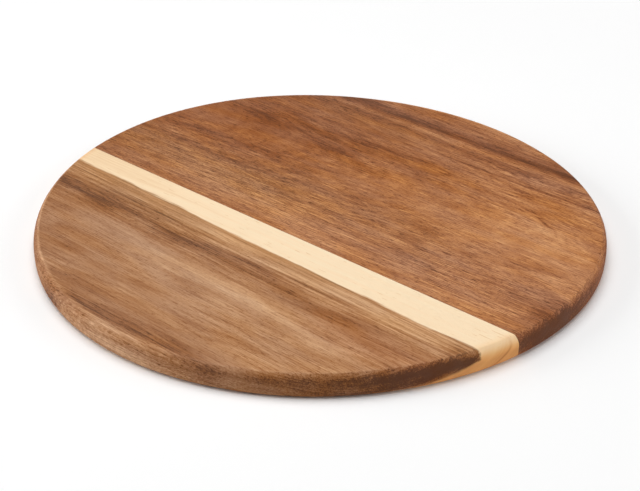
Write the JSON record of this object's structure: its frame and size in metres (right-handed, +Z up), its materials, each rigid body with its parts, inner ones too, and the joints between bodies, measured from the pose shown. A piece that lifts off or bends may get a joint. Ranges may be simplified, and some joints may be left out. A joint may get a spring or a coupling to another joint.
{
  "type": "cheese board",
  "caption": "Round flat wooden cheese board, edge-glued from a wide and a narrow plank, with a pale band of sapwood along the joint and a rounded rim.",
  "frame": {"origin": "middle of the flat underside", "axes": "+X along the grain and the glued joint, +Y across the planks towards the wide one, +Z up out of the serving face"},
  "size_m": [0.3, 0.3, 0.012],
  "materials": {
    "heartwood_red": "oiled reddish-brown heartwood",
    "heartwood_tan": "oiled tan heartwood",
    "sapwood": "oiled cream sapwood",
    "wood_glue": "set wood glue, sanded flush"
  },
  "bodies": {
    "root": {"wide_plank": "heartwood_red", "glue_line": "wood_glue", "narrow_plank": "heartwood_tan", "sapwood_band": "sapwood"}
  },
  "joints": []
}
